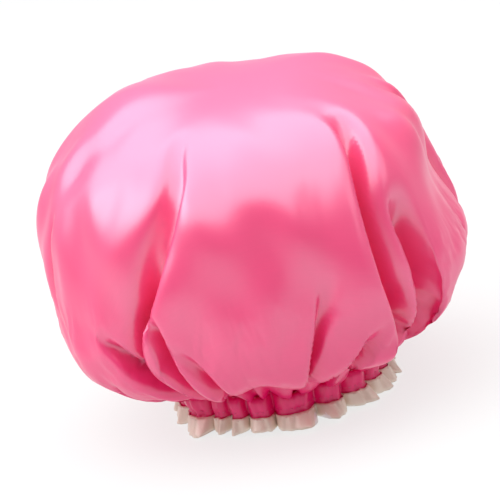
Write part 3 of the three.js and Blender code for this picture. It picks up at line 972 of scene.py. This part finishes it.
def paper(name):
    """White paper with a painted glow, a pool of painted light under and behind the cap that is dimmer
    towards the photographer and the sides. It gives an even white ground."""
    made, tree, shader = material(name)
    place = node(tree, "TexCoord").outputs["Object"]
    place = node(tree, "SeparateXYZ", Vector=place)
    # Painted light: the glow is strongest under and behind the cap and weaker towards the front and sides
    front = node(tree, "MapRange", {"From Min": -0.55, "From Max": -0.23, "To Min": 0.4},
                 Value=place.outputs["Y"])
    aside = node(tree, "Math", {"operation": "ABSOLUTE"}, Value=place.outputs["X"])
    middle = node(tree, "MapRange", {"From Min": 0.2, "From Max": 0.5, "To Min": 0.72, "To Max": 0.3},
                  Value=aside.outputs["Value"])
    painted_glow = node(tree, "Math", {"operation": "MULTIPLY"})
    tree.links.new(front.outputs["Result"], painted_glow.inputs[0])
    tree.links.new(middle.outputs["Result"], painted_glow.inputs[1])
    tree.links.new(painted_glow.outputs["Value"], shader.inputs["Emission Strength"])
    shader.inputs["Emission Color"].default_value = (1, 1, 1, 1)
    shader.inputs["Base Color"].default_value = (0.2, 0.2, 0.2, 1)
    shader.inputs["Roughness"].default_value = 0.9
    shader.inputs["Specular IOR Level"].default_value = 0
    return made


def studio(name):
    """Surroundings that are bright behind the cap and dim on the photographer's side."""
    world = bpy.data.worlds.new(name)
    world.use_nodes = True
    tree = world.node_tree
    facing = node(tree, "VectorMath", {"operation": "DOT_PRODUCT"})
    tree.links.new(node(tree, "TexCoord").outputs["Generated"], facing.inputs[0])
    facing.inputs[1].default_value = (-0.2, 0.97, 0)
    level = node(tree, "MapRange", {"From Min": -0.2, "From Max": 0.6, "To Min": 0.05, "To Max": 0.65},
                 Value=facing.outputs["Value"])
    background = tree.nodes["Background"]
    tree.links.new(level.outputs["Result"], background.inputs["Strength"])
    background.inputs["Color"].default_value = (1, 1, 1, 1)
    return world


def softbox(name, size, energy, place, aimed):
    """A soft light, aimed at the cap or facing straight down."""
    lamp = bpy.data.lights.new(name, "AREA")
    lamp.shape = "RECTANGLE"
    lamp.size = size[0]
    lamp.size_y = size[1]
    lamp.energy = energy
    light = bpy.data.objects.new(name, lamp)
    light.location = place
    if aimed:
        light.rotation_euler = (-Vector(place)).to_track_quat("-Z", "Y").to_euler()
    bpy.context.collection.objects.link(light)


def camera(name):
    """A camera with a long lens, held above the cap and rolled as in the photo."""
    lens = bpy.data.cameras.new(name)
    lens.lens = LENS
    lens.sensor_width = SENSOR
    made = bpy.data.objects.new(name, lens)
    pitch = math.radians(CAMERA_PITCH)
    back = Vector((0, -math.cos(pitch), math.sin(pitch)))
    made.location = Vector(CAMERA_TARGET) + back * CAMERA_DISTANCE
    turn = (-back).to_track_quat("-Z", "Y").to_matrix()
    made.rotation_euler = (turn @ Matrix.Rotation(math.radians(CAMERA_ROLL), 3, "Z")).to_euler()
    bpy.context.collection.objects.link(made)
    return made


class CAP_OT_stage(bpy.types.Operator):
    """Make the floor, the lights and the camera"""

    bl_idname = "cap.stage"
    bl_label = "Stage"

    def execute(self, context):
        scene = context.scene
        scene.view_settings.view_transform = "Standard"
        bm = bmesh.new()
        bmesh.ops.create_circle(bm, cap_ends=True, segments=64, radius=FLOOR_RADIUS)
        floor = as_piece("floor", bm)
        floor.location.z = FLOOR_HEIGHT
        floor.data.materials.append(paper("white_paper_with_painted_glow"))
        scene.world = studio("studio")
        for light in SOFTBOXES:
            softbox(*light)
        scene.camera = camera("camera")
        return {"FINISHED"}


class CAP_PT_panel(bpy.types.Panel):
    """Lists the pieces of the cap"""

    bl_label = "Shower Cap"
    bl_idname = "CAP_PT_panel"
    bl_space_type = "VIEW_3D"
    bl_region_type = "UI"
    bl_category = "Shower Cap"

    def draw(self, context):
        for piece in OPERATORS:
            self.layout.operator(piece.bl_idname)
        for group in (context.scene.cap_sizes, context.scene.cap_colours):
            box = self.layout.box()
            for key in group.__annotations__:
                box.prop(group, key)


OPERATORS = (CAP_OT_shell, CAP_OT_lining, CAP_OT_elastic, CAP_OT_join, CAP_OT_binding,
             CAP_OT_stitching, CAP_OT_stage)
CLASSES = (CapSizes, CapColours, *OPERATORS, CAP_PT_panel)


def register():
    for made in CLASSES:
        bpy.utils.register_class(made)
    bpy.types.Scene.cap_sizes = PointerProperty(type=CapSizes)
    bpy.types.Scene.cap_colours = PointerProperty(type=CapColours)


def unregister():
    del bpy.types.Scene.cap_colours
    del bpy.types.Scene.cap_sizes
    for made in reversed(CLASSES):
        bpy.utils.unregister_class(made)


def main():
    register()
    for piece in OPERATORS:
        group, name = piece.bl_idname.split(".")
        getattr(getattr(bpy.ops, group), name)()


if __name__ == "__main__":
    main()
